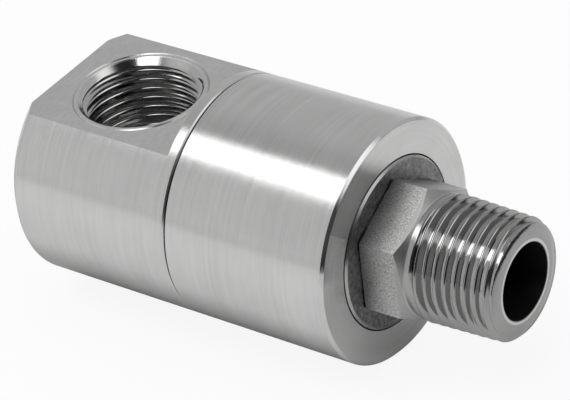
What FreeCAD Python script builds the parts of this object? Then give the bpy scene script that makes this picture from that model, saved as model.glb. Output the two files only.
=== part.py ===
"""Right-angle rotary union for high pressure, in stainless steel.

A fixed housing in two halves, screwed together at a seam, carries a hollow shaft in two
deep-groove ball bearings. Fluid enters the threaded port in the flat on top, turns the
corner and leaves through the shaft, whose nose carries a tapered male pipe thread.

Millimetres. Origin at the centre of the flat rear face, on the shaft's axis.
+X runs along the shaft towards its threaded nose, and +Z points out of the inlet port.
"""
import FreeCAD, Part
import math
import os

V = FreeCAD.Vector
X_AXIS = V(1, 0, 0)
ORIGIN = V(0, 0, 0)

# Bearings
BEARING_BORE = 17.0
BEARING_OUTSIDE = 35.0
BEARING_WIDTH = 10.0
BALL_DIAMETER = 4.762
BALL_COUNT = 10
BALL_PLAY = 0.01
RACE_CONFORMITY = 1.04
INNER_RING_WALL = 2.85
OUTER_RING_WALL = 2.8
RING_EDGE = 0.5
CAGE_WALL = 1.7
CAGE_RIM = 0.75
CAGE_PLAY = 0.1
SHIELD_INSET = 0.35
SHIELD_THICKNESS = 0.5
SHIELD_SEAT_DEPTH = 0.4
SHIELD_GAP = 0.15
SPACER_WIDTH = 1.0
SPACER_STEP = 0.1
SEAT_FIT = 0.01

# Preload spring between the rear housing's spigot and the rear bearing's outer ring
SPRING_HEIGHT = 0.6
SPRING_THICKNESS = 0.35
SPRING_INSET = 0.2

# Housing walls, seam and the screwed joint between its halves
HOUSING_WALL = 3.0
SEAM_CHAMFER = 0.35
SPIGOT_LENGTH = 6.1
JOINT_THREAD_WALL = 0.5
JOINT_CLEARANCE = 0.05
SPIGOT_CHAMFER = 0.5
SPIGOT_PILOT_LENGTH = 0.35
ORING_SECTION = 1.3
ORING_GROOVE_WIDTH = 1.5
ORING_SEAT_STEP = 0.55
ORING_SEAT_EXTRA = 0.25
FRONT_LIP_LENGTH = 3.45
FRONT_LIP_COVER = 0.05
FRONT_CHAMFER = 0.5

# Inlet end
REAR_CHAMFER = 1.8
REAR_EDGE_ROUND = 0.5
PORT_FROM_REAR = 15.0
FLAT_DEPTH = 4.9
FLAT_RING_WIDTH = 2.0
PORT_THREAD_DIAMETER = 20.96
PORT_THREAD_DEPTH = 14.5
PORT_CHAMFER = 0.15
PORT_RING_RADIUS = 11.33
PORT_RING_DEPTH = 0.22
PORT_CORE_DIAMETER = 17.6
PORT_CORE_DEPTH = 5.4
DRILL_POINT_ANGLE = 118.0
PASSAGE_DIAMETER = 10.5
PORT_TO_POCKET_WEB = 2.7

# Pressure seal in its pocket around the shaft's tail
TAIL_DIAMETER = 15.6
SEAL_SECTION = 3.7
SEAL_LENGTH = 4.5
SEAL_END_GAP = 0.5
SEAL_RUNNING_GAP = 0.05
SEAL_SEAT_FIT = 0.02
SEAL_GROOVE_DEPTH = 3.0
SEAL_GROOVE_WIDTH = 1.6
BACKUP_LENGTH = 1.5
WASHER_LENGTH = 0.8
WASHER_BORE_GAP = 0.4
POCKET_CIRCLIP_THICKNESS = 1.2
POCKET_CIRCLIP_SLOT = 1.3
POCKET_GROOVE_DEPTH = 0.6
POCKET_LAND = 1.0
RELIEF_LENGTH = 1.1
TAIL_END_GAP = 0.5
TAIL_CHAMFER = 0.8

# Circlip that holds the rear bearing on the shaft
SHAFT_CIRCLIP_THICKNESS = 1.0
SHAFT_CIRCLIP_SLOT = 1.1
SHAFT_GROOVE_DEPTH = 0.4
SHAFT_COLLAR_BEHIND = 1.7
CIRCLIP_WIDE = 2.5
CIRCLIP_NARROW = 1.5
CIRCLIP_LUG_RADIUS = 1.35
CIRCLIP_LUG_HOLE = 0.65
CIRCLIP_LUG_ANGLE = 17.0
RELIEF_CLEARANCE = 0.7

# Dust disc and dust seal at the front
DUST_DISC_THICKNESS = 1.6
DUST_DISC_GAP = 0.25
DUST_DISC_PROUD = 0.4
DUST_DISC_CHAMFER = 0.35
HUB_STEP = 0.15
DUST_SEAL_END_GAP = 0.2
DUST_SEAL_LIP = 0.8
DUST_SEAL_RUNNING_GAP = 0.1

# Hexagon, neck and threaded nose of the shaft
CLAMP_SHOULDER_WALL = 1.7
CLAMP_SHOULDER_LENGTH = 0.2
HEX_ACROSS_FLATS = 21.0
HEX_TURN = -3.0
HEX_REAR_CHAMFER = 0.1
HEX_CORNER_LENGTH = 6.4
HEX_CHAMFER_ANGLE = 31.0
NECK_DIAMETER = 20.2
NECK_LENGTH = 1.6
NOSE_CREST_DIAMETER = 21.0
NOSE_THREAD_HEIGHT = 1.16
NOSE_THREAD_LENGTH = 14.45
NOSE_TAPER = 1.0 / 16.0
NOSE_END_BEVEL = 0.3
NOSE_FACE_WIDTH = 0.75
NOSE_BORE_DIAMETER = 12.8
NOSE_BORE_DEPTH = 24.0
NOSE_BORE_CHAMFER = 0.1
SHAFT_BORE_DIAMETER = 10.5
BORE_CONE_ANGLE = 30.0

# Radii that follow from the values above
journal_r = BEARING_BORE / 2 - SEAT_FIT
bearing_r = BEARING_OUTSIDE / 2
pitch_r = (BEARING_BORE + BEARING_OUTSIDE) / 4
ball_r = BALL_DIAMETER / 2
inner_shoulder_r = BEARING_BORE / 2 + INNER_RING_WALL
outer_shoulder_r = bearing_r - OUTER_RING_WALL
body_r = bearing_r + HOUSING_WALL
joint_bore_r = bearing_r + JOINT_THREAD_WALL + JOINT_CLEARANCE
oring_seat_r = joint_bore_r + ORING_SEAT_STEP
tail_r = TAIL_DIAMETER / 2
pocket_r = tail_r + SEAL_SECTION
relief_r = journal_r + CIRCLIP_WIDE + CIRCLIP_LUG_RADIUS + RELIEF_CLEARANCE
lip_r = outer_shoulder_r - FRONT_LIP_COVER
disc_r = lip_r - DUST_DISC_GAP
hub_r = inner_shoulder_r - HUB_STEP
port_r = PORT_THREAD_DIAMETER / 2
passage_r = PASSAGE_DIAMETER / 2
flat_z = body_r - FLAT_DEPTH

# Places along the shaft's axis, worked forward from the rear face
pocket_stack = (SEAL_END_GAP + SEAL_LENGTH + BACKUP_LENGTH + WASHER_LENGTH + POCKET_CIRCLIP_SLOT
                + POCKET_LAND + RELIEF_LENGTH)
pocket_x = PORT_FROM_REAR + port_r + PORT_TO_POCKET_WEB
spigot_x = pocket_x + pocket_stack
seam_x = spigot_x - SPIGOT_LENGTH
flat_end_x = seam_x - FLAT_RING_WIDTH
seal_x = pocket_x + SEAL_END_GAP
backup_x = seal_x + SEAL_LENGTH
washer_x = backup_x + BACKUP_LENGTH
pocket_circlip_x = washer_x + WASHER_LENGTH
relief_x = spigot_x - RELIEF_LENGTH
rear_bearing_x = spigot_x + SPRING_HEIGHT
spacer_x = rear_bearing_x + BEARING_WIDTH
front_bearing_x = spacer_x + SPACER_WIDTH
lip_x = front_bearing_x + BEARING_WIDTH
front_x = lip_x + FRONT_LIP_LENGTH
disc_front_x = front_x + DUST_DISC_PROUD
disc_rear_x = disc_front_x - DUST_DISC_THICKNESS
hex_x = disc_front_x + CLAMP_SHOULDER_LENGTH
tail_x = pocket_x + TAIL_END_GAP
shaft_circlip_x = rear_bearing_x - SHAFT_CIRCLIP_THICKNESS
journal_x = shaft_circlip_x - SHAFT_COLLAR_BEHIND


def tangent(degrees):
    return math.tan(math.radians(degrees))


def turned(*corners):
    """Solid of revolution about the shaft's axis, from (x, radius) corners in order."""
    points = [V(x, 0, r) for x, r in corners]
    profile = Part.makePolygon(points + [points[0]])
    return Part.Face(profile).revolve(ORIGIN, X_AXIS, 360)


def turned_about_port(*corners):
    """Solid of revolution about the port's upright axis, from (z, radius) corners in order."""
    points = [V(PORT_FROM_REAR + r, 0, z) for z, r in corners]
    profile = Part.makePolygon(points + [points[0]])
    return Part.Face(profile).revolve(V(PORT_FROM_REAR, 0, 0), V(0, 0, 1), 360)


def collar(x, length, inner_r, outer_r):
    """Plain ring from x to x + length."""
    return turned((x, inner_r), (x, outer_r), (x + length, outer_r), (x + length, inner_r))


def disc(x, length, radius):
    return Part.makeCylinder(radius, length, V(x, 0, 0), X_AXIS)


def torus(x, centre_r, section_r):
    return Part.makeTorus(centre_r, section_r, V(x, 0, 0), X_AXIS)


def on_circle(x, radius, degrees):
    """Point at an angle about the shaft's axis, counted from +Z towards -Y."""
    angle = math.radians(degrees)
    return V(x, -radius * math.sin(angle), radius * math.cos(angle))


def save(node, *solids):
    shape = solids[0] if len(solids) == 1 else Part.makeCompound(list(solids))
    shape.exportStep("parts/" + node + ".step")


def round_edges(solid, radius, wanted):
    """Rounds the circular edges at each (x, radius) place that is wanted."""
    edges = []
    for edge in solid.Edges:
        if not isinstance(edge.Curve, Part.Circle):
            continue
        x, r = edge.Curve.Center.x, edge.Curve.Radius
        if any(abs(x - px) < 1e-3 and abs(r - pr) < 1e-3 for px, pr in wanted):
            edges.append(edge)
    return solid.makeFillet(radius, edges)


def rear_housing():
    """Inlet block: chamfered cylinder with a milled flat, port, corner passage and spigot."""
    chamfer_r = body_r - REAR_CHAMFER
    body = turned(
        (0, 0), (0, chamfer_r), (REAR_CHAMFER, body_r), (seam_x - SEAM_CHAMFER, body_r),
        (seam_x, body_r - SEAM_CHAMFER), (seam_x, 0))
    body = round_edges(body, REAR_EDGE_ROUND, [(0, chamfer_r), (REAR_CHAMFER, body_r)])
    body = body.fuse(spigot())
    above_flat = Part.makeBox(
        flat_end_x + body_r, 2 * body_r + 2, body_r, V(-body_r, -body_r - 1, flat_z))
    body = body.cut(above_flat)
    pocket = disc(pocket_x, spigot_x - pocket_x, pocket_r)
    groove = disc(pocket_circlip_x, POCKET_CIRCLIP_SLOT, pocket_r + POCKET_GROOVE_DEPTH)
    relief = disc(relief_x, RELIEF_LENGTH, relief_r)
    passage = disc(PORT_FROM_REAR, pocket_x - PORT_FROM_REAR, passage_r)
    for hollow in (pocket, groove, relief, passage, port_hollow(), port_ring()):
        body = body.cut(hollow)
    return body.removeSplitter()


def spigot():
    """Screwed spigot that enters the front housing, with its O-ring groove at the root."""
    thread_r = joint_bore_r - JOINT_CLEARANCE
    groove_x = seam_x + SPIGOT_PILOT_LENGTH
    groove_r = oring_seat_r - ORING_SECTION
    groove_end = groove_x + ORING_GROOVE_WIDTH
    pilot_r = oring_seat_r - JOINT_CLEARANCE
    return turned(
        (seam_x, 0), (seam_x, pilot_r), (groove_x, pilot_r), (groove_x, groove_r),
        (groove_end, groove_r), (groove_end, thread_r), (spigot_x - SPIGOT_CHAMFER, thread_r),
        (spigot_x, thread_r - SPIGOT_CHAMFER), (spigot_x, 0))


def port_hollow():
    """Inlet port: mouth chamfer, thread's wall, core bore and drill point."""
    core_r = PORT_CORE_DIAMETER / 2
    thread_end_z = flat_z - PORT_THREAD_DEPTH
    core_end_z = thread_end_z - PORT_CORE_DEPTH
    point_depth = core_r / tangent(DRILL_POINT_ANGLE / 2)
    return turned_about_port(
        (flat_z, 0), (flat_z, port_r + PORT_CHAMFER), (flat_z - PORT_CHAMFER, port_r),
        (thread_end_z, port_r), (thread_end_z - (port_r - core_r), core_r), (core_end_z, core_r),
        (core_end_z - point_depth, 0))


def port_ring():
    """Fine V groove in the flat, around the port's mouth."""
    half = PORT_RING_DEPTH
    return turned_about_port(
        (flat_z, PORT_RING_RADIUS - half), (flat_z, PORT_RING_RADIUS + half),
        (flat_z - PORT_RING_DEPTH, PORT_RING_RADIUS))


def front_housing():
    """Bearing housing: screwed entry, one straight bearing bore and a lip at the front."""
    seat_end = seam_x + SPIGOT_PILOT_LENGTH + ORING_GROOVE_WIDTH + ORING_SEAT_EXTRA
    bore_r = bearing_r + SEAT_FIT
    bore_x = spigot_x + SPRING_HEIGHT / 2
    return turned(
        (seam_x, oring_seat_r), (seam_x, body_r - SEAM_CHAMFER), (seam_x + SEAM_CHAMFER, body_r),
        (front_x - FRONT_CHAMFER, body_r), (front_x, body_r - FRONT_CHAMFER), (front_x, lip_r),
        (lip_x, lip_r), (lip_x, bore_r), (bore_x, bore_r), (bore_x, joint_bore_r),
        (seat_end, joint_bore_r), (seat_end, oring_seat_r))


def housing_oring():
    section_r = ORING_SECTION / 2
    middle_x = seam_x + SPIGOT_PILOT_LENGTH + ORING_GROOVE_WIDTH / 2
    return torus(middle_x, oring_seat_r - section_r, section_r)


def shaft():
    """Hollow shaft: tail, bearing journal with circlip groove, hexagon, neck and nose."""
    groove_r = journal_r - SHAFT_GROOVE_DEPTH
    groove_x = rear_bearing_x - SHAFT_CIRCLIP_SLOT
    shoulder_r = journal_r + CLAMP_SHOULDER_WALL
    neck_r = NECK_DIAMETER / 2
    body = turned(
        (tail_x, 0), (tail_x, tail_r - TAIL_CHAMFER), (tail_x + 2 * TAIL_CHAMFER, tail_r),
        (journal_x, tail_r), (journal_x + journal_r - tail_r, journal_r), (groove_x, journal_r),
        (groove_x, groove_r), (rear_bearing_x, groove_r), (rear_bearing_x, journal_r),
        (disc_front_x, journal_r), (disc_front_x, shoulder_r), (hex_x, shoulder_r), (hex_x, 0))
    nut, neck_x = hexagon(neck_r)
    thread_x = neck_x + NECK_LENGTH
    end_x = thread_x + NOSE_THREAD_LENGTH
    root_r = NOSE_CREST_DIAMETER / 2 - NOSE_THREAD_HEIGHT
    end_r = root_r - NOSE_THREAD_LENGTH * NOSE_TAPER / 2
    face_r = NOSE_BORE_DIAMETER / 2 + NOSE_FACE_WIDTH
    nose = turned(
        (hex_x, 0), (hex_x, neck_r), (thread_x - (neck_r - root_r), neck_r), (thread_x, root_r),
        (end_x - NOSE_END_BEVEL, end_r), (end_x, face_r), (end_x, 0))
    return body.fuse([nut, nose]).cut(shaft_bore(end_x)).removeSplitter()


def hexagon(neck_r):
    """Spanner hexagon, coned in front down to the neck; returns it and where the neck starts."""
    corner_r = HEX_ACROSS_FLATS / math.sqrt(3)
    corner_x = hex_x + HEX_CORNER_LENGTH
    neck_x = corner_x + (corner_r - neck_r) * tangent(HEX_CHAMFER_ANGLE)
    corners = [on_circle(hex_x, corner_r, 60 * k + HEX_TURN) for k in range(6)]
    prism = Part.Face(Part.makePolygon(corners + [corners[0]])).extrude(V(neck_x - hex_x, 0, 0))
    envelope = turned(
        (hex_x, 0), (hex_x, corner_r - HEX_REAR_CHAMFER), (hex_x + HEX_REAR_CHAMFER, corner_r),
        (corner_x, corner_r), (neck_x, neck_r), (neck_x, 0))
    return prism.common(envelope), neck_x


def shaft_bore(end_x):
    wide_r = NOSE_BORE_DIAMETER / 2
    narrow_r = SHAFT_BORE_DIAMETER / 2
    step_x = end_x - NOSE_BORE_DEPTH
    cone_x = step_x - (wide_r - narrow_r) / tangent(BORE_CONE_ANGLE)
    return turned(
        (tail_x, 0), (tail_x, narrow_r), (cone_x, narrow_r), (step_x, wide_r),
        (end_x - NOSE_BORE_CHAMFER, wide_r), (end_x, wide_r + NOSE_BORE_CHAMFER), (end_x, 0))


def dust_disc():
    """Disc that turns with the shaft in the front opening; its hub clamps the inner rings."""
    bore_r = BEARING_BORE / 2
    return turned(
        (lip_x, bore_r), (lip_x, hub_r), (disc_rear_x, hub_r), (disc_rear_x, disc_r),
        (disc_front_x - DUST_DISC_CHAMFER, disc_r), (disc_front_x, disc_r - DUST_DISC_CHAMFER),
        (disc_front_x, bore_r))


def dust_seal():
    """Rubber seal pressed in the front lip; one thin lip runs on the dust disc's hub."""
    start = lip_x + DUST_SEAL_END_GAP
    end = disc_rear_x - DUST_SEAL_END_GAP
    lip_end = start + DUST_SEAL_LIP
    run_r = hub_r + DUST_SEAL_RUNNING_GAP
    heel_r = (run_r + lip_r) / 2
    return turned(
        (start, run_r), (start, lip_r), (end, lip_r), (end, heel_r), (lip_end, heel_r),
        (lip_end, run_r))


def bearing_inner_ring(x):
    middle = x + BEARING_WIDTH / 2
    bore_r = BEARING_BORE / 2
    race_r = ball_r * RACE_CONFORMITY
    edge = RING_EDGE
    ring = turned(
        (x, bore_r + edge), (x, inner_shoulder_r), (x + BEARING_WIDTH, inner_shoulder_r),
        (x + BEARING_WIDTH, bore_r + edge), (x + BEARING_WIDTH - edge, bore_r), (x + edge, bore_r))
    return ring.cut(torus(middle, pitch_r - ball_r - BALL_PLAY + race_r, race_r))


def bearing_outer_ring(x):
    """Outer ring with its race and a step at each side that holds a shield."""
    middle = x + BEARING_WIDTH / 2
    race_r = ball_r * RACE_CONFORMITY
    seat_r = outer_shoulder_r + SHIELD_SEAT_DEPTH
    seat_end = SHIELD_INSET + SHIELD_THICKNESS
    far_x = x + BEARING_WIDTH
    edge = RING_EDGE
    ring = turned(
        (x, bearing_r - edge), (x, seat_r), (x + seat_end, seat_r), (x + seat_end, outer_shoulder_r),
        (far_x - seat_end, outer_shoulder_r), (far_x - seat_end, seat_r), (far_x, seat_r),
        (far_x, bearing_r - edge), (far_x - edge, bearing_r), (x + edge, bearing_r))
    return ring.cut(torus(middle, pitch_r + ball_r + BALL_PLAY - race_r, race_r))


def ball_centres(x):
    step = 360 / BALL_COUNT
    return [on_circle(x + BEARING_WIDTH / 2, pitch_r, k * step) for k in range(BALL_COUNT)]


def bearing_balls(x):
    return [Part.makeSphere(ball_r, centre) for centre in ball_centres(x)]


def bearing_cage(x):
    """One-piece machined cage: a ring with a drilled pocket for each ball."""
    middle = V(x + BEARING_WIDTH / 2, 0, 0)
    half_width = ball_r + CAGE_PLAY + CAGE_RIM
    ring = collar(
        middle.x - half_width, 2 * half_width, pitch_r - CAGE_WALL / 2, pitch_r + CAGE_WALL / 2)
    outwards = [centre - middle for centre in ball_centres(x)]
    pockets = [Part.makeCylinder(ball_r + CAGE_PLAY, bearing_r, middle, way) for way in outwards]
    return ring.cut(pockets)


def bearing_shields(x):
    inner_r = inner_shoulder_r + SHIELD_GAP
    outer_r = outer_shoulder_r + SHIELD_SEAT_DEPTH - SEAT_FIT
    starts = (x + SHIELD_INSET, x + BEARING_WIDTH - SHIELD_INSET - SHIELD_THICKNESS)
    return [collar(start, SHIELD_THICKNESS, inner_r, outer_r) for start in starts]


def inner_spacer():
    return collar(spacer_x, SPACER_WIDTH, BEARING_BORE / 2, inner_shoulder_r - SPACER_STEP)


def outer_spacer():
    return collar(spacer_x, SPACER_WIDTH, outer_shoulder_r + SPACER_STEP, bearing_r)


def preload_spring():
    """Coned disc spring: its outer rim sits on the spigot, its inner rim on the outer ring."""
    inner_r = outer_shoulder_r + SHIELD_SEAT_DEPTH + SPRING_INSET
    outer_r = bearing_r - SPRING_INSET
    end = spigot_x + SPRING_HEIGHT
    return turned(
        (spigot_x, outer_r), (spigot_x + SPRING_THICKNESS, outer_r), (end, inner_r),
        (end - SPRING_THICKNESS, inner_r))


def circlip(x, thickness, seat_r, side):
    """Eccentric snap ring with two pierced lugs; side 1 grips a shaft, -1 fills a bore."""
    mean_width = (CIRCLIP_WIDE + CIRCLIP_NARROW) / 2
    offset = (CIRCLIP_WIDE - CIRCLIP_NARROW) / 2
    free_centre = V(x, 0, -side * offset)
    free = Part.makeCylinder(seat_r + side * mean_width, thickness, free_centre, X_AXIS)
    seat = disc(x, thickness, seat_r)
    ring = free.cut(seat) if side > 0 else seat.cut(free)
    lug_r = seat_r + side * CIRCLIP_LUG_RADIUS
    half_gap = CIRCLIP_LUG_RADIUS
    gap = Part.makeBox(thickness, 2 * half_gap, 2 * seat_r, V(x, -half_gap, 0))
    ring = ring.cut(gap)
    holes = []
    for turn in (-CIRCLIP_LUG_ANGLE, CIRCLIP_LUG_ANGLE):
        centre = on_circle(x, lug_r, turn)
        ring = ring.fuse(Part.makeCylinder(CIRCLIP_LUG_RADIUS, thickness, centre, X_AXIS))
        holes.append(Part.makeCylinder(CIRCLIP_LUG_HOLE, thickness, centre, X_AXIS))
    return ring.cut(holes).removeSplitter()


def pressure_seal():
    """Cup seal, open towards the fluid, with a groove for its energiser ring."""
    inner_r = tail_r + SEAL_RUNNING_GAP
    outer_r = pocket_r - SEAL_SEAT_FIT
    middle_r = (tail_r + pocket_r) / 2
    groove_in = middle_r - SEAL_GROOVE_WIDTH / 2
    groove_out = middle_r + SEAL_GROOVE_WIDTH / 2
    floor_x = seal_x + SEAL_GROOVE_DEPTH
    return turned(
        (seal_x, inner_r), (seal_x, groove_in), (floor_x, groove_in), (floor_x, groove_out),
        (seal_x, groove_out), (seal_x, outer_r), (backup_x, outer_r), (backup_x, inner_r))


def energiser_ring():
    section_r = SEAL_GROOVE_WIDTH / 2
    return torus(seal_x + SEAL_GROOVE_DEPTH - section_r, (tail_r + pocket_r) / 2, section_r)


def backup_ring():
    return collar(backup_x, BACKUP_LENGTH, tail_r + SEAL_RUNNING_GAP, pocket_r - SEAL_SEAT_FIT)


def seal_washer():
    return collar(washer_x, WASHER_LENGTH, tail_r + WASHER_BORE_GAP, pocket_r - SEAL_SEAT_FIT)


def main():
    os.makedirs("parts", exist_ok=True)
    save("rear_housing", rear_housing())
    save("front_housing", front_housing())
    save("housing_oring", housing_oring())
    save("shaft", shaft())
    save("dust_disc", dust_disc())
    save("dust_seal", dust_seal())
    for name, x in (("rear_bearing", rear_bearing_x), ("front_bearing", front_bearing_x)):
        save(name + "_inner_ring", bearing_inner_ring(x))
        save(name + "_outer_ring", bearing_outer_ring(x))
        save(name + "_balls", *bearing_balls(x))
        save(name + "_cage", bearing_cage(x))
        save(name + "_shields", *bearing_shields(x))
    save("inner_spacer", inner_spacer())
    save("outer_spacer", outer_spacer())
    save("preload_spring", preload_spring())
    save("shaft_circlip", circlip(
        shaft_circlip_x, SHAFT_CIRCLIP_THICKNESS, journal_r - SHAFT_GROOVE_DEPTH + SEAT_FIT, 1))
    save("pressure_seal", pressure_seal())
    save("energiser_ring", energiser_ring())
    save("backup_ring", backup_ring())
    save("seal_washer", seal_washer())
    save("seal_circlip", circlip(
        pocket_circlip_x, POCKET_CIRCLIP_THICKNESS, pocket_r + POCKET_GROOVE_DEPTH - SEAT_FIT, -1))


main()
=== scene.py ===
"""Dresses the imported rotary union: camera, studio, finishes and the threads' fine shapes."""

import math

import bmesh
import bpy
import numpy as np
from mathutils import Matrix, Quaternion, Vector


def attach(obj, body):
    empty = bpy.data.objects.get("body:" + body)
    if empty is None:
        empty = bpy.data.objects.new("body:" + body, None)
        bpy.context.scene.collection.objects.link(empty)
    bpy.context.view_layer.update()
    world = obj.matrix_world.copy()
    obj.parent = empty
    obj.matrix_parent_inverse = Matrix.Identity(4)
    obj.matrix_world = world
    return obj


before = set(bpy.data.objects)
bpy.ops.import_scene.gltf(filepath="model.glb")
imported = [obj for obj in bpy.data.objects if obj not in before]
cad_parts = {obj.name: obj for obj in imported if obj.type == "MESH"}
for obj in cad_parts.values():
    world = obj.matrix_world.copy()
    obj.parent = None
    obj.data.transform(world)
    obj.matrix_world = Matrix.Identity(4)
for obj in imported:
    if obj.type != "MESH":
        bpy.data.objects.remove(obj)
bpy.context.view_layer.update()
scene = bpy.context.scene
scene.view_settings.view_transform = "Standard"

# In metres
MM = 0.001
MARK_DEPTH = 0.00002
FLOOR_Z = -0.0205
FLOOR_REACH = 6

# Camera fitted to the photo: direction from the aim to it, roll in degrees, aim and distance
# in metres, focal length and sensor width in millimetres
CAMERA_BACK = (0.539357, -0.62329035, 0.56621831)
CAMERA_ROLL = -9.254
CAMERA_AIM = (0.0421628, 0, 0.0017625)
CAMERA_DISTANCE = 0.536868
CAMERA_LENS = 208.806
SENSOR_WIDTH = 36

# Places on the solids, in millimetres. A pair is where something begins and ends, or where a
# finish starts to change and is changed
SEAM_X = 32.78
PORT_X = 15.0
FLAT_Z = 15.6
BORE_R = 6.4
SEAM_SHADE_HALF_WIDTH = 0.11
FRONT_FACE_X = (63.6, 63.8)
BEVEL_X = (63.42, 63.46)
BEVEL_R = (19.96, 20.0)
HEXAGON_X = (64.5, 71.1)
CONE_X = (71.1, 72.1)
NECK_X = (72.2, 73.6)
DISC_RIM_R = (14.0, 14.1)

# Pipe thread: 14 turns to the inch, flanks at 55 degrees to each other, round roots
PITCH = 25.4 / 14
FLANK = math.radians(27.5)
COLUMNS = 192
ROWS_PER_PITCH = 26

# Meshes, in metres and radians
MERGE_DISTANCE = 2e-7
EMPTY_DISTANCE = 1e-7
SHARP_ANGLE = math.radians(38)

# Outlet thread on the shaft: a tapered thread cut into a blank. It covers the solid closely
COVER = 0.015
OUTLET_START = 72.99
OUTLET_END = 87.93
OUTLET_NECK_R = 10.115
OUTLET_CREST_X = 76.03
OUTLET_CREST_ANGLE = 60.0
OUTLET_CREST_R = 10.5
OUTLET_CREST_R_AT = 74.0
TAPER = 1 / 32
OUTLET_HEIGHT = 1.162
OUTLET_ROUND = 0.249
OUTLET_RUN_OUT = ([OUTLET_START, 73.1, 73.95], [OUTLET_NECK_R, OUTLET_NECK_R, 9.36])
OUTLET_BLANK = ([73.5, 73.95, 87.15, OUTLET_END], [OUTLET_NECK_R, 10.5, 10.08, 9.3])
END_FACE_X = 88.205
END_FACE_R = 7.4
OUTLET_START_SIDE = [(OUTLET_START, 9.6)]
OUTLET_INNER_SIDE = [(73.6, 8.9), (87.4, 8.2)]
OUTLET_END_SIDE = [(88.0, 7.0), (END_FACE_X, 7.0), (END_FACE_X, END_FACE_R)]

# Inlet thread in the port, with flat crests
PORT_WALL_R = 10.48
PORT_MAJOR_R = 10.3
PORT_HEIGHT = 0.98
PORT_ROOT_ROUND = 0.59
PORT_MOUTH_R = 10.63
PORT_THREAD_TOP = 15.45
PORT_THREAD_BOTTOM = 1.1
PORT_RUN_OUT = ([PORT_THREAD_BOTTOM, 2.6], [PORT_MAJOR_R, 9.0])
PORT_SIDE_R = 10.9
PORT_SIDE_TOP = 15.3
PORT_CREST_Z = 14.41
PORT_CREST_ANGLE = 90.0
PORT_FADE_FROM = 0.12
PORT_FADE = 0.09

# Brightness of the room in reflections: all round, and in patches as azimuth, elevation,
# degrees of the full patch, degrees where it ends, and its brightness
ROOM_LEVEL = 0.55
ROOM_PATCHES = (
    (130, 15, 16, 34, 0.77),
    (50, 22, 48, 60, 0.02),
    (0, 0, 30, 50, 0.08),
    (-17, 28, 19, 26, 1.4),
    (0, 90, 14, 28, 0.03),
)


def look_from(back, roll_degrees, aim, distance, lens):
    """Camera that looks at aim from the direction back, rolled about its own axis."""
    forward = -Vector(back).normalized()
    right = forward.cross(Vector((0, 0, 1))).normalized()
    up = right.cross(forward)
    roll = math.radians(roll_degrees)
    new_right = right * math.cos(roll) + up * math.sin(roll)
    new_up = up * math.cos(roll) - right * math.sin(roll)
    data = bpy.data.cameras.new("camera")
    data.lens = lens
    data.sensor_width = SENSOR_WIDTH
    data.clip_start = 0.05
    data.clip_end = 20
    camera = bpy.data.objects.new("camera", data)
    scene.collection.objects.link(camera)
    turn = Matrix((new_right, new_up, -forward)).transposed().to_4x4()
    camera.matrix_world = Matrix.Translation(Vector(aim) - forward * distance) @ turn
    scene.camera = camera


look_from(CAMERA_BACK, CAMERA_ROLL, CAMERA_AIM, CAMERA_DISTANCE, CAMERA_LENS)


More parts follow.
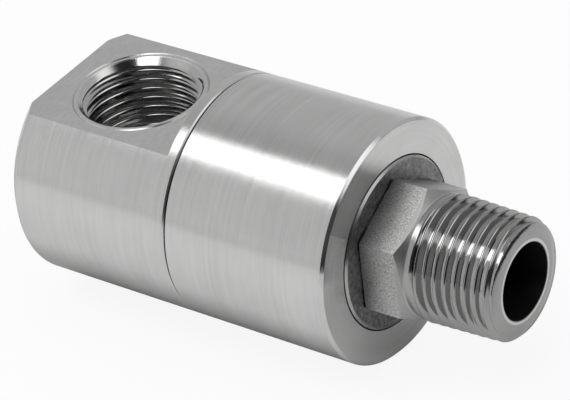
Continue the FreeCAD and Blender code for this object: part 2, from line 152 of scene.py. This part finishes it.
class Nodes:
    """Short names for building a node tree."""

    def __init__(self, name, tree=None):
        if tree is None:
            self.material = bpy.data.materials.new(name)
            self.material.use_nodes = True
            tree = self.material.node_tree
            self.shader = tree.nodes["Principled BSDF"]
        self.tree = tree
        self.coords = None

    def new(self, kind, **settings):
        node = self.tree.nodes.new(kind)
        for key, value in settings.items():
            setattr(node, key, value)
        return node

    def link(self, source, target):
        self.tree.links.new(source, target)

    def put(self, node, index, value):
        if isinstance(value, (int, float)):
            node.inputs[index].default_value = value
        else:
            self.link(value, node.inputs[index])

    def math(self, operation, *values):
        node = self.new("ShaderNodeMath", operation=operation)
        for i, value in enumerate(values):
            self.put(node, i, value)
        return node.outputs[0]

    def add(self, *values):
        total = values[0]
        for value in values[1:]:
            total = self.math("ADD", total, value)
        return total

    def times(self, a, b):
        return self.math("MULTIPLY", a, b)

    def position(self):
        """x, y, z in millimetres and the radius about the shaft's axis."""
        if self.coords is None:
            where = self.new("ShaderNodeTexCoord").outputs["Object"]
            parts = self.new("ShaderNodeSeparateXYZ")
            self.link(where, parts.inputs[0])
            x, y, z = [self.times(parts.outputs[i], 1 / MM) for i in range(3)]
            squares = self.add(self.times(y, y), self.times(z, z))
            self.coords = (x, y, z, self.math("SQRT", squares))
        return self.coords

    def step(self, value, start, end):
        """0 below start, 1 above end, straight in between."""
        node = self.new("ShaderNodeMapRange", clamp=True)
        self.put(node, 0, value)
        self.put(node, 1, start)
        self.put(node, 2, end)
        node.inputs[3].default_value = 0.0
        node.inputs[4].default_value = 1.0
        return node.outputs[0]

    def band(self, value, start, end, soft):
        """1 between start and end, with soft edges."""
        return self.times(self.step(value, start - soft, start + soft),
                          self.step(value, end + soft, end - soft))

    def noise(self, x, y, z, scale=1.0, detail=2.0, rough=0.5, w=None):
        """Noise between 0 and 1, of four coordinates where w is given."""
        pieces = self.new("ShaderNodeCombineXYZ")
        for i, value in enumerate((x, y, z)):
            self.put(pieces, i, value)
        node = self.new("ShaderNodeTexNoise", noise_dimensions="3D" if w is None else "4D")
        self.link(pieces.outputs[0], node.inputs["Vector"])
        if w is not None:
            self.link(w, node.inputs["W"])
        node.inputs["Scale"].default_value = scale
        node.inputs["Detail"].default_value = detail
        node.inputs["Roughness"].default_value = rough
        return node.outputs["Fac"]

    def mix(self, share, a, b):
        """Number between a and b."""
        return self.add(a, self.times(share, self.math("SUBTRACT", b, a)))

    def grey(self, value, warm=0.0):
        """A number as a grey colour, a touch warm."""
        pieces = self.new("ShaderNodeCombineColor")
        self.put(pieces, 0, self.times(value, 1 + warm))
        self.put(pieces, 1, value)
        self.put(pieces, 2, self.times(value, 1 - warm))
        return pieces.outputs[0]

    def blend(self, value, start, first, end, last):
        """Colour first up to start and last from end on."""
        ramp = self.new("ShaderNodeValToRGB")
        for element, place, colour in zip(ramp.color_ramp.elements, (start, end), (first, last)):
            element.position = place
            element.color = (*colour, 1)
        self.link(value, ramp.inputs[0])
        return ramp.outputs[0]

    def bump(self, height, distance):
        node = self.new("ShaderNodeBump")
        node.inputs["Strength"].default_value = 1.0
        node.inputs["Distance"].default_value = distance
        self.link(height, node.inputs["Height"])
        return node.outputs[0]


def rings(n, fineness, stretch, detail, rough):
    """Rings about the shaft: changes fast along x and the radius, slowly round it."""
    x, y, z, r = n.position()
    safe = n.math("MAXIMUM", r, 0.5)
    cosine = n.math("DIVIDE", z, safe)
    sine = n.math("DIVIDE", y, safe)
    return n.noise(n.times(x, fineness), n.times(r, fineness), n.times(sine, stretch),
                   detail=detail, rough=rough, w=n.times(cosine, stretch))


def turned_steel(name, parts, level=0.65, roughness=0.23, anisotropic=0.75, marks=1.0):
    """Turned stainless steel. parts changes tone, roughness and relief by place."""
    n = Nodes(name)
    x, y, z, r = n.position()
    fine = rings(n, 9.0, 0.7, 3.0, 0.6)
    coarse = rings(n, 1.4, 1.3, 2.0, 0.5)
    smudge = n.noise(x, y, z, 0.16, 4.0, 0.55)
    tone = n.add(n.times(fine, 0.4), n.times(coarse, 0.3), n.times(smudge, 0.3))
    base = n.mix(n.step(tone, 0.32, 0.68), level * 0.88, level * 1.1)
    rough = n.mix(n.step(tone, 0.3, 0.7), roughness * 0.85, roughness * 1.2)
    height = n.add(n.times(fine, 0.7), n.times(coarse, 0.3))
    base, rough, height = parts(n, base, rough, height)
    n.link(n.grey(base, 0.004), n.shader.inputs["Base Color"])
    n.shader.inputs["Metallic"].default_value = 1.0
    n.link(rough, n.shader.inputs["Roughness"])
    if anisotropic:
        n.shader.inputs["Anisotropic"].default_value = anisotropic
        n.shader.inputs["Anisotropic Rotation"].default_value = 0.25
        tangent = n.new("ShaderNodeTangent", direction_type="RADIAL", axis="X")
        n.link(tangent.outputs[0], n.shader.inputs["Tangent"])
    n.link(n.bump(height, MARK_DEPTH * marks), n.shader.inputs["Normal"])
    return n.material


def housing_parts(n, base, rough, height):
    """Painted shade in the seam between the housings, a finer front face and a polished bevel
    around it.
    """
    x, y, z, r = n.position()
    # Painted shade: a near-black band in the seam between the housings.
    seam_shade = n.band(x, SEAM_X - SEAM_SHADE_HALF_WIDTH, SEAM_X + SEAM_SHADE_HALF_WIDTH, 0.03)
    base = n.mix(seam_shade, base, 0.015)
    rough = n.mix(n.step(x, *FRONT_FACE_X), rough, n.times(rough, 0.7))
    rough = n.mix(seam_shade, rough, 0.6)
    bevel = n.times(n.step(x, *BEVEL_X), n.step(r, *BEVEL_R))
    rough = n.mix(bevel, rough, 0.06)
    return base, rough, height


def shaft_parts(n, base, rough, height):
    """Blasted hexagon with painted shade towards the disc, turned cone and neck, and painted shade
    in the bore.
    """
    x, y, z, r = n.position()
    grain = n.noise(x, y, z, 4.6, 3.0, 0.75)
    spots = n.noise(x, y, z, 1.1, 3.0, 0.6)
    hexagon = n.band(x, *HEXAGON_X, 0.15)
    blasted = n.times(hexagon, n.mix(n.step(grain, 0.36, 0.64), 0.45, 1.2))
    # Painted shade: the hexagon's flats are darker near the disc and lighter towards the nose,
    # standing in for the disc mirrored in them.
    shade_toward_disc = n.mix(n.step(x, 64.6, 69.0), 0.62, 1.12)
    base = n.mix(hexagon, base, n.times(n.times(blasted, shade_toward_disc), 0.56))
    rough = n.mix(hexagon, rough, 0.42)
    cone = n.band(x, *CONE_X, 0.1)
    base = n.mix(cone, base, 0.43)
    rough = n.mix(cone, rough, 0.36)
    neck = n.band(x, *NECK_X, 0.1)
    base = n.mix(neck, base, 0.42)
    # Painted shade: the bore's wall is darkened almost to black.
    inside = n.step(r, BORE_R + 0.2, BORE_R)
    base = n.mix(inside, base, 0.05)
    rough = n.mix(inside, rough, 0.5)
    height = n.mix(hexagon, height, n.add(n.times(grain, 1.5), spots))
    return base, rough, height


def disc_parts(n, base, rough, height):
    """Dark mottled face, its tone partly a blasted finish and partly painted shade from the
    hexagon in front of it, with a paler rim.
    """
    x, y, z, r = n.position()
    mottle = n.noise(x, y, z, 1.3, 4.0, 0.65)
    rim = n.step(r, *DISC_RIM_R)
    # Painted shade in part: the face's dark tone also stands in for the hexagon's shadow on it.
    base = n.mix(rim, n.mix(n.step(mottle, 0.35, 0.65), 0.11, 0.26), 0.42)
    return base, rough, height


def port_parts(n, base, rough, height):
    """The cone at the mouth is bright; the thread below it carries painted shade, darker down in
    the port.
    """
    x, y, z, r = n.position()
    # Painted shade: the thread down in the port is darker than the cone at its mouth.
    below = n.step(z, FLAT_Z - 0.75, FLAT_Z - 1.2)
    return n.mix(below, base, 0.52), rough, height


def unchanged(n, base, rough, height):
    return base, rough, height


def plain(name, colour, roughness, metallic=0.0, scale=2.0, spread=0.15):
    """Finish for the pieces inside: a little variation in tone and a fine grain."""
    n = Nodes(name)
    x, y, z, r = n.position()
    grain = n.noise(x, y, z, scale, 4.0, 0.6)
    dark = tuple(c * (1 - spread) for c in colour)
    light = tuple(min(1.0, c * (1 + spread)) for c in colour)
    n.link(n.blend(grain, 0.3, dark, 0.7, light), n.shader.inputs["Base Color"])
    n.shader.inputs["Metallic"].default_value = metallic
    n.link(n.mix(grain, roughness * 0.85, roughness * 1.15), n.shader.inputs["Roughness"])
    n.link(n.bump(grain, MARK_DEPTH), n.shader.inputs["Normal"])
    return n.material


def dress(node, material):
    """Give a node of the part one finish."""
    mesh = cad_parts[node].data
    if not mesh.materials:
        mesh.materials.append(material)
    for i in range(len(mesh.materials)):
        mesh.materials[i] = material


housing_steel = turned_steel("housing_steel", housing_parts, marks=1.6)
shaft_steel = turned_steel("shaft_steel", shaft_parts, anisotropic=0.3)
thread_steel = turned_steel("thread_steel", unchanged, level=0.37, roughness=0.12, anisotropic=0.0,
                            marks=0.3)
port_steel = turned_steel("port_steel", port_parts, level=0.6, roughness=0.13, anisotropic=0.0,
                          marks=0.03)
disc_steel = turned_steel("disc_steel", disc_parts, roughness=0.27)
bearing_steel = plain("bearing_steel", (0.56, 0.56, 0.57), 0.16, 1.0)
black_rubber = plain("black_rubber", (0.03, 0.03, 0.032), 0.6)
white_ptfe = plain("white_ptfe", (0.82, 0.81, 0.78), 0.45, 0.0, 1.0, 0.04)
spring_steel = plain("spring_steel", (0.33, 0.34, 0.37), 0.3, 1.0)
cage_brass = plain("cage_brass", (0.72, 0.52, 0.25), 0.3, 1.0)

for node in ("rear_housing", "front_housing", "seal_washer"):
    dress(node, housing_steel)
dress("shaft", shaft_steel)
dress("dust_disc", disc_steel)
for end in ("rear_bearing", "front_bearing"):
    for piece in ("inner_ring", "outer_ring", "balls", "shields"):
        dress(end + "_" + piece, bearing_steel)
    dress(end + "_cage", cage_brass)
for node in ("inner_spacer", "outer_spacer"):
    dress(node, bearing_steel)
for node in ("housing_oring", "dust_seal", "energiser_ring"):
    dress(node, black_rubber)
for node in ("pressure_seal", "backup_ring"):
    dress(node, white_ptfe)
for node in ("preload_spring", "shaft_circlip", "seal_circlip"):
    dress(node, spring_steel)


def thread_form(offset, height, root_round, crest_round=0.0):
    """Height above the root at a distance from the crest, both in millimetres."""
    from_root = PITCH / 2 - np.abs(offset)
    arc = root_round * math.cos(FLANK)
    root = root_round - np.sqrt(np.maximum(root_round ** 2 - from_root ** 2, 0))
    flank = root_round * (1 - math.sin(FLANK)) + (from_root - arc) / math.tan(FLANK)
    form = np.minimum(np.where(from_root < arc, root, flank), height)
    crest = height - crest_round + np.sqrt(np.maximum(crest_round ** 2 - offset ** 2, 0))
    on_crest = np.abs(offset) < crest_round * math.cos(FLANK)
    return np.where(on_crest, np.minimum(form, crest), form)


def from_crest(along, turns, crest_at):
    """Signed distance to the nearest crest of a right-handed thread."""
    share = (along - crest_at) / PITCH - turns
    return (share - np.round(share)) * PITCH


def threaded_side(start, end, radius, place, vertices, faces):
    """Grid of points whose rows climb one pitch per turn, so that it closes on itself."""
    step = PITCH / ROWS_PER_PITCH
    count = int((end - start) / step) + ROWS_PER_PITCH + 2
    rows = start - PITCH + step * np.arange(count)
    last = COLUMNS - 1
    grid = {}
    for j in range(COLUMNS):
        turns = j / COLUMNS
        along = np.clip(rows + PITCH * turns, start, end)
        high = radius(along, turns)
        for i in range(count):
            grid[i, j] = len(vertices)
            vertices.append(place(along[i], high[i], turns))
    for j in range(last):
        for i in range(count - 1):
            faces.append((grid[i, j], grid[i, j + 1], grid[i + 1, j + 1], grid[i + 1, j]))
    for i in range(ROWS_PER_PITCH, count - 1):
        k = i - ROWS_PER_PITCH
        faces.append((grid[k, last], grid[i, 0], grid[i + 1, 0], grid[k + 1, last]))


def plain_sides(corners, radius, place, vertices, faces):
    """Turned sides through the corners. A corner without a radius lies on the threaded side."""
    loops = []
    for along, r in corners:
        loop = []
        for j in range(COLUMNS):
            turns = j / COLUMNS
            at = float(radius(np.array([along]), turns)[0]) if r is None else r
            loop.append(len(vertices))
            vertices.append(place(along, at, turns))
        loops.append(loop)
    for low, high in zip(loops, loops[1:]):
        for j in range(COLUMNS):
            k = (j + 1) % COLUMNS
            faces.append((low[j], high[j], high[k], low[k]))


def closed_object(name, vertices, faces, material):
    """Smooth object with sharp edges, its doubled points merged and empty faces removed."""
    mesh = bmesh.new()
    points = [mesh.verts.new(Vector(v) * MM) for v in vertices]
    for face in faces:
        mesh.faces.new([points[i] for i in face])
    bmesh.ops.remove_doubles(mesh, verts=mesh.verts, dist=MERGE_DISTANCE)
    bmesh.ops.dissolve_degenerate(mesh, edges=mesh.edges, dist=EMPTY_DISTANCE)
    loose = [v for v in mesh.verts if not v.link_faces]
    bmesh.ops.delete(mesh, geom=loose, context="VERTS")
    bmesh.ops.recalc_face_normals(mesh, faces=mesh.faces)
    data = bpy.data.meshes.new(name)
    mesh.to_mesh(data)
    mesh.free()
    data.materials.append(material)
    for polygon in data.polygons:
        polygon.use_smooth = True
    data.set_sharp_from_angle(angle=SHARP_ANGLE)
    made = bpy.data.objects.new(name, data)
    scene.collection.objects.link(made)
    return made


def threaded_ring(name, start, end, radius, start_side, inner_side, end_side, place, material):
    """A closed ring whose threaded side follows the helix.

    radius(along, turns) gives that side. The other sides are (along, radius) pairs, and
    place(along, radius, turns) puts a point in space.
    """
    vertices = []
    faces = []
    threaded_side(start, end, radius, place, vertices, faces)
    corners = [(start, None)] + start_side + inner_side + end_side + [(end, None)]
    plain_sides(corners, radius, place, vertices, faces)
    return closed_object(name, vertices, faces, material)


def outlet_radius(along, turns):
    """along counts along the shaft's axis, turns from the top towards the camera's side."""
    crest_r = OUTLET_CREST_R - (along - OUTLET_CREST_R_AT) * TAPER
    offset = from_crest(along, turns - OUTLET_CREST_ANGLE / 360, OUTLET_CREST_X)
    thread = crest_r - OUTLET_HEIGHT
    thread = thread + thread_form(offset, OUTLET_HEIGHT, OUTLET_ROUND, OUTLET_ROUND)
    run_out = np.interp(along, *OUTLET_RUN_OUT)
    blank = np.interp(along, *OUTLET_BLANK)
    return np.minimum(np.maximum(thread, run_out), blank) + COVER


def outlet_place(along, r, turns):
    angle = 2 * math.pi * turns
    return (along, -r * math.sin(angle), r * math.cos(angle))


outlet_thread = threaded_ring(
    "outlet_thread", OUTLET_START, OUTLET_END, outlet_radius, OUTLET_START_SIDE,
    OUTLET_INNER_SIDE, OUTLET_END_SIDE, outlet_place, thread_steel)
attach(outlet_thread, "shaft_assembly")


def port_radius(along, turns):
    """along counts up the port's axis, turns from the shaft's direction.

    The groove above the first crest fades where it would cut into the mouth's cone.
    """
    offset = from_crest(along, turns - PORT_CREST_ANGLE / 360, PORT_CREST_Z)
    thread = PORT_MAJOR_R - thread_form(offset, PORT_HEIGHT, PORT_ROOT_ROUND)
    run_out = np.interp(along, *PORT_RUN_OUT)
    mouth = PORT_MOUTH_R - (FLAT_Z - along)
    first_crest = PORT_CREST_Z + (turns - PORT_CREST_ANGLE / 360) * PITCH
    if turns > PORT_FADE_FROM:
        share = min(1.0, (turns - PORT_FADE_FROM) / PORT_FADE)
        faded = thread + share * (PORT_MAJOR_R - PORT_HEIGHT - thread)
        thread = np.where(along > first_crest, faded, thread)
    return np.minimum(np.maximum(np.maximum(thread, run_out), mouth), PORT_WALL_R + 0.1)


def port_place(along, r, turns):
    angle = 2 * math.pi * turns
    return (PORT_X + r * math.cos(angle), r * math.sin(angle), along)


port_thread = threaded_ring(
    "port_thread", PORT_THREAD_BOTTOM, PORT_THREAD_TOP, port_radius,
    [(PORT_THREAD_BOTTOM, PORT_SIDE_R)], [], [(PORT_SIDE_TOP, PORT_SIDE_R)],
    port_place, port_steel)
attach(port_thread, "housing")


def direction(azimuth, elevation):
    """Unit vector; azimuth counts from +X towards -Y."""
    a, e = math.radians(azimuth), math.radians(elevation)
    return Vector((math.cos(e) * math.cos(a), -math.cos(e) * math.sin(a), math.sin(e)))


def softbox(name, azimuth, elevation, distance, width, height, power, roll=0.0):
    """Lamp that faces the origin. Angles are in degrees, sizes in metres, power in watts."""
    data = bpy.data.lights.new(name, "AREA")
    data.shape = "RECTANGLE"
    data.size = width
    data.size_y = height
    data.energy = power
    lamp = bpy.data.objects.new(name, data)
    scene.collection.objects.link(lamp)
    way = direction(azimuth, elevation)
    lamp.location = way * distance
    lamp.rotation_mode = "QUATERNION"
    turned = Quaternion((0, 0, 1), math.radians(roll))
    lamp.rotation_quaternion = way.to_track_quat("Z", "Y") @ turned
    return lamp


softbox("overhead_box", 106, 63.5, 1.0, 1.26, 0.36, 3.5, roll=-6.0)
fill = softbox("top_fill", 60, 82, 1.5, 1.2, 1.2, 6.0)
fill.visible_glossy = False


def floor_paper():
    """White paper: the camera sees it white with the part's shadow, other light its colour.

    In reflections it carries a painted shadow under the part and ahead of its nose, and is dark
    far ahead.
    """
    n = Nodes("floor_paper")
    n.shader.inputs["Roughness"].default_value = 0.8
    x, y, z, r = n.position()
    path = n.new("ShaderNodeLightPath")
    glossy = path.outputs["Is Glossy Ray"]
    # Painted shadow, seen only in reflections: ahead of the nose and under the part.
    front = n.times(n.step(x, 105.0, 135.0), n.step(y, 30.0, 10.0))
    under = n.times(n.band(y, -20.0, 6.0, 6.0), n.step(x, 75.0, 60.0))
    shade = n.math("MAXIMUM", n.times(front, 0.15), n.times(under, 0.45))
    tone = n.math("SUBTRACT", 0.92, n.times(glossy, shade))
    n.link(n.grey(tone), n.shader.inputs["Base Color"])
    glow = n.new("ShaderNodeEmission")
    glow.inputs[1].default_value = 1.0
    mirrored = n.math("MAXIMUM", glossy, path.outputs["Is Transmission Ray"])
    share = n.add(n.times(path.outputs["Is Camera Ray"], 0.9), n.times(mirrored, 0.06))
    paper = n.new("ShaderNodeMixShader")
    n.link(share, paper.inputs[0])
    n.link(n.shader.outputs[0], paper.inputs[1])
    n.link(glow.outputs[0], paper.inputs[2])
    beyond = n.new("ShaderNodeBsdfDiffuse")
    beyond.inputs[0].default_value = (0.06, 0.06, 0.06, 1)
    edge = n.new("ShaderNodeMixShader")
    n.link(n.times(glossy, n.step(x, 190.0, 220.0)), edge.inputs[0])
    n.link(paper.outputs[0], edge.inputs[1])
    n.link(beyond.outputs[0], edge.inputs[2])
    n.link(edge.outputs[0], n.tree.nodes["Material Output"].inputs[0])
    return n.material


def flat_floor():
    corners = [(-FLOOR_REACH, -FLOOR_REACH, FLOOR_Z), (FLOOR_REACH, -FLOOR_REACH, FLOOR_Z),
               (FLOOR_REACH, FLOOR_REACH, FLOOR_Z), (-FLOOR_REACH, FLOOR_REACH, FLOOR_Z)]
    mesh = bpy.data.meshes.new("floor")
    mesh.from_pydata(corners, [], [(0, 1, 2, 3)])
    mesh.materials.append(floor_paper())
    made = bpy.data.objects.new("floor", mesh)
    scene.collection.objects.link(made)
    return made


floor = flat_floor()


def room():
    """World: white to the camera, and a studio's pale walls and dark front to other light."""
    world = bpy.data.worlds.new("studio")
    scene.world = world
    world.use_nodes = True
    n = Nodes("", world.node_tree)
    way = n.new("ShaderNodeTexCoord").outputs["Generated"]

    def patch(azimuth, elevation, inner, outer):
        """1 within inner degrees of a direction, 0 beyond outer degrees."""
        dot = n.new("ShaderNodeVectorMath", operation="DOT_PRODUCT")
        n.link(way, dot.inputs[0])
        dot.inputs[1].default_value = direction(azimuth, elevation)
        return n.step(dot.outputs["Value"], math.cos(math.radians(outer)),
                      math.cos(math.radians(inner)))

    level = ROOM_LEVEL
    for azimuth, elevation, inner, outer, brightness in ROOM_PATCHES:
        level = n.mix(patch(azimuth, elevation, inner, outer), level, brightness)
    path = n.new("ShaderNodeLightPath")
    level = n.mix(path.outputs["Is Camera Ray"], level, 1.0)
    n.link(n.grey(level), world.node_tree.nodes["Background"].inputs[0])


room()
